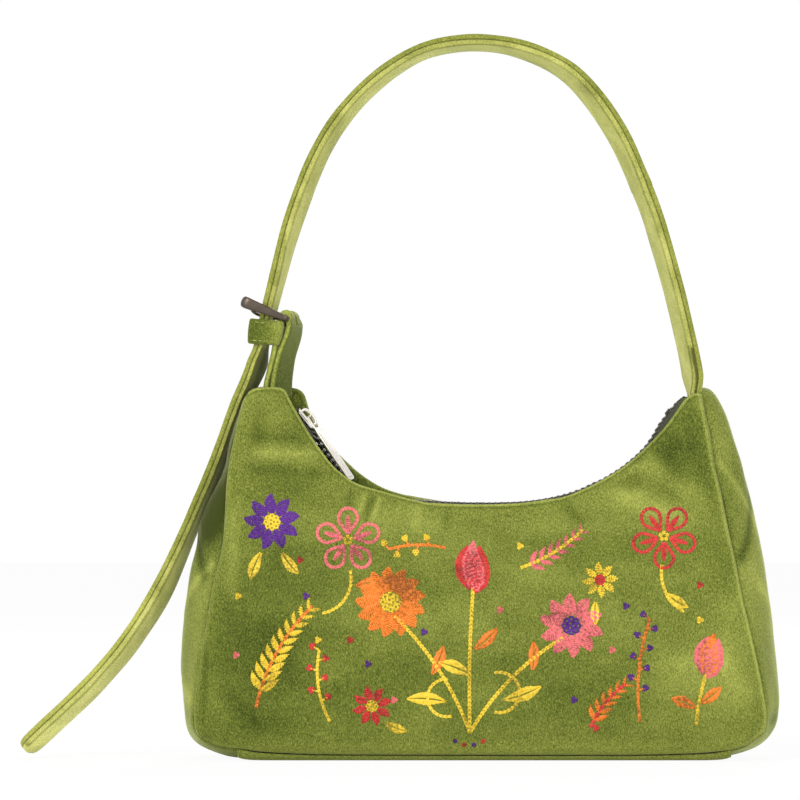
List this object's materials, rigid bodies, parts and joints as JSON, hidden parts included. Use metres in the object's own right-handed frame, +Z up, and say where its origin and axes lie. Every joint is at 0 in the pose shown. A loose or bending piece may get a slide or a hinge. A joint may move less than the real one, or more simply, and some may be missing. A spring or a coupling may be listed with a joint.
{
  "type": "velvet mini bag",
  "caption": "Small velvet top-handle bag: trapezoid body with two horns, scooped zip opening, padded arched handle with a buckled end and a long hanging strap tail.",
  "frame": {"origin": "middle of the base's underside", "axes": "+Z up, +X along the bag away from the buckle, -Y out of the embroidered front"},
  "size_m": [0.3296, 0.06, 0.3179],
  "materials": {
    "velvet_green": "matte velvet pile",
    "velvet_light_green": "matte velvet pile, lit side",
    "velvet_deep_green": "matte velvet pile, shaded side",
    "lining_cloth": "woven lining",
    "foam_cream": "thin padding foam",
    "board_grey": "stiffener board",
    "tape_dark": "woven zip tape",
    "gunmetal": "dark plated",
    "silver": "pale plated",
    "pewter": "dark pewter plated"
  },
  "bodies": {
    "bag": {"front_panel": "velvet_green", "back_panel": "velvet_green", "front_foam": "foam_cream", "back_foam": "foam_cream", "lining_front": "lining_cloth", "lining_back": "lining_cloth", "lining_band": "lining_cloth", "left_gusset": "velvet_deep_green", "right_gusset": "velvet_deep_green", "base_panel": "velvet_deep_green", "base_board": "board_grey", "zip_tape_front": "tape_dark", "zip_tape_back": "tape_dark", "zip_teeth_front": "gunmetal", "zip_teeth_back": "gunmetal", "zip_top_stop_front": "gunmetal", "zip_top_stop_back": "gunmetal", "zip_bottom_stop": "gunmetal", "tail_outer": "velvet_green", "tail_inner": "velvet_light_green"},
    "slider": {"zip_slider": "silver", "slider_bridge": "silver"},
    "puller": {"zip_puller": "silver"},
    "strap": {"strap_outer": "velvet_green", "strap_inner": "velvet_light_green", "buckle_tab": "velvet_green", "strap_keeper": "velvet_green"},
    "buckle": {"buckle_frame": "pewter"},
    "prong": {"buckle_prong": "pewter"}
  },
  "joints": [
    {"name": "zip_travel", "type": "hinge", "parent": "bag", "child": "slider", "pos_m": [0.00198, 0, 0.21186], "axis": [0, -1, 0], "range_deg": [0, 76]},
    {"name": "puller_swing", "type": "hinge", "parent": "slider", "child": "puller", "pos_m": [-0.0728, 0, 0.15174], "axis": [-0.6063, -0.7558, -0.2474], "range_deg": [0, 100]},
    {"name": "strap_swing", "type": "hinge", "parent": "bag", "child": "strap", "pos_m": [0, 0, 0.166], "axis": [1, 0, 0], "range_deg": [-40, 40]},
    {"name": "buckle_swing", "type": "hinge", "parent": "strap", "child": "buckle", "pos_m": [-0.08492, 0, 0.19294], "axis": [0, 1, 0], "range_deg": [0, 30]},
    {"name": "prong_swing", "type": "hinge", "parent": "strap", "child": "prong", "pos_m": [-0.08492, 0, 0.19294], "axis": [0, 1, 0], "range_deg": [0, 4]}
  ]
}
